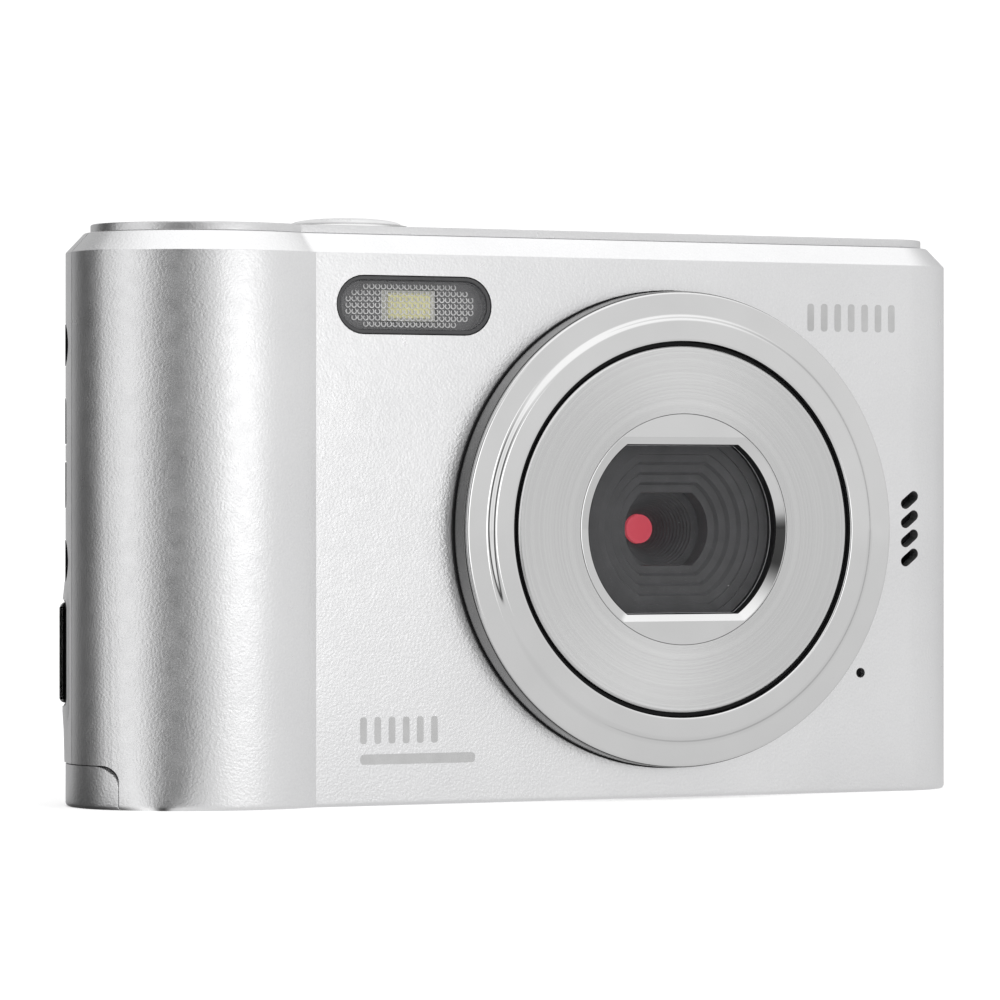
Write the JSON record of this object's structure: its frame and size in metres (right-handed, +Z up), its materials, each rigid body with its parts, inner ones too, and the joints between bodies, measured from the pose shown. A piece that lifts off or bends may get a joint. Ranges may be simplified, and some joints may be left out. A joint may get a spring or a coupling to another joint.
{
  "type": "compact digital camera",
  "caption": "Slim silver compact camera with a rounded grip, a round stepped lens trim around a flat-sided window, a flash window, push buttons and a battery door.",
  "frame": {"origin": "middle of the camera's box at its base, on the surface it stands on", "axes": "+X to the right seen from the front, +Y from front to back, +Z up"},
  "size_m": [0.0938, 0.024, 0.0573],
  "materials": {
    "silver_paint": "satin silver spray paint with a fine grain",
    "chrome": "bright plated",
    "spun_metal": "spun in fine circles",
    "black_plastic": "moulded",
    "baffle": "matt",
    "clear_plastic": "clear moulded",
    "dark_glass": "polished",
    "coated_glass": "coated",
    "steel": "plain",
    "brass": "plain",
    "circuit_board": "solder mask",
    "phosphor": "chalky",
    "white_plastic": "moulded",
    "battery_wrap": "printed-free wrap"
  },
  "bodies": {
    "camera_body": {"front_shell": "silver_paint", "rear_shell": "silver_paint", "top_plate": "silver_paint", "lens_ring": "chrome", "window_insert": "chrome", "shutter_collar": "chrome", "strap_lug": "chrome", "lens_disc": "spun_metal", "groove_seal": "black_plastic", "lug_pocket": "black_plastic", "flash_bezel": "black_plastic", "lens_barrel": "black_plastic", "shutter_switch": "black_plastic", "power_switch": "black_plastic", "battery_bay": "black_plastic", "processor": "black_plastic", "speaker": "black_plastic", "lens_baffle": "baffle", "lens_window": "clear_plastic", "flash_window": "clear_plastic", "rear_lens": "clear_plastic", "infrared_filter": "clear_plastic", "status_light": "clear_plastic", "screen_window": "dark_glass", "display_panel": "dark_glass", "image_sensor": "dark_glass", "front_lens": "coated_glass", "side_screw_low": "steel", "side_screw_high": "steel", "microphone": "steel", "usb_port": "steel", "tripod_bush": "brass", "battery_contact_positive": "brass", "battery_contact_negative": "brass", "flash_board": "circuit_board", "top_board": "circuit_board", "end_key_board": "circuit_board", "sensor_board": "circuit_board", "main_board": "circuit_board", "back_key_board": "circuit_board", "flash_phosphor": "phosphor", "flash_package": "white_plastic", "battery": "battery_wrap", "memory_card": "battery_wrap"},
    "shutter": {"shutter_button": "silver_paint"},
    "power": {"power_button": "silver_paint"},
    "upper_end_button": {"upper_end_key": "black_plastic"},
    "lower_end_button": {"lower_end_key": "black_plastic"},
    "zoom_in": {"zoom_in_key": "black_plastic"},
    "zoom_out": {"zoom_out_key": "black_plastic"},
    "menu_button": {"menu_key": "silver_paint"},
    "mode_button": {"mode_key": "silver_paint"},
    "play_button": {"play_key": "silver_paint"},
    "delete_button": {"delete_key": "silver_paint"},
    "navigation_button": {"navigation_pad": "silver_paint"},
    "ok_button": {"ok_key": "silver_paint"},
    "slider": {"door_slider": "steel", "hinge_pin": "steel"},
    "door": {"battery_door": "silver_paint"}
  },
  "joints": [
    {"name": "shutter_press", "type": "slide", "parent": "camera_body", "child": "shutter", "axis": [0, 0, -1], "range_m": [0, 0.0004], "stiffness_N_per_m": 1000, "springref_m": -0.0001},
    {"name": "power_press", "type": "slide", "parent": "camera_body", "child": "power", "axis": [0, 0, -1], "range_m": [0, 0.0003], "stiffness_N_per_m": 1000, "springref_m": -0.0001},
    {"name": "upper_end_button_press", "type": "slide", "parent": "camera_body", "child": "upper_end_button", "axis": [1, 0, 0], "range_m": [0, 0.0003], "stiffness_N_per_m": 1000, "springref_m": -0.0001},
    {"name": "lower_end_button_press", "type": "slide", "parent": "camera_body", "child": "lower_end_button", "axis": [1, 0, 0], "range_m": [0, 0.0003], "stiffness_N_per_m": 1000, "springref_m": -0.0001},
    {"name": "zoom_in_press", "type": "slide", "parent": "camera_body", "child": "zoom_in", "axis": [1, 0, 0], "range_m": [0, 0.0003], "stiffness_N_per_m": 1000, "springref_m": -0.0001},
    {"name": "zoom_out_press", "type": "slide", "parent": "camera_body", "child": "zoom_out", "axis": [1, 0, 0], "range_m": [0, 0.0003], "stiffness_N_per_m": 1000, "springref_m": -0.0001},
    {"name": "menu_button_press", "type": "slide", "parent": "camera_body", "child": "menu_button", "axis": [0, -1, 0], "range_m": [0, 0.0003], "stiffness_N_per_m": 1000, "springref_m": -0.0001},
    {"name": "mode_button_press", "type": "slide", "parent": "camera_body", "child": "mode_button", "axis": [0, -1, 0], "range_m": [0, 0.0003], "stiffness_N_per_m": 1000, "springref_m": -0.0001},
    {"name": "play_button_press", "type": "slide", "parent": "camera_body", "child": "play_button", "axis": [0, -1, 0], "range_m": [0, 0.0003], "stiffness_N_per_m": 1000, "springref_m": -0.0001},
    {"name": "delete_button_press", "type": "slide", "parent": "camera_body", "child": "delete_button", "axis": [0, -1, 0], "range_m": [0, 0.0003], "stiffness_N_per_m": 1000, "springref_m": -0.0001},
    {"name": "navigation_button_press", "type": "slide", "parent": "camera_body", "child": "navigation_button", "axis": [0, -1, 0], "range_m": [0, 0.0003], "stiffness_N_per_m": 1000, "springref_m": -0.0001},
    {"name": "ok_button_press", "type": "slide", "parent": "camera_body", "child": "ok_button", "axis": [0, -1, 0], "range_m": [0, 0.0003], "stiffness_N_per_m": 1000, "springref_m": -0.0001},
    {"name": "door_slide", "type": "slide", "parent": "camera_body", "child": "slider", "axis": [-1, 0, 0], "range_m": [0, 0.0025]},
    {"name": "door_hinge", "type": "hinge", "parent": "slider", "child": "door", "pos_m": [-0.00846, 0.00158, 0.001], "axis": [0, -1, 0], "range_deg": [0, 90]}
  ]
}
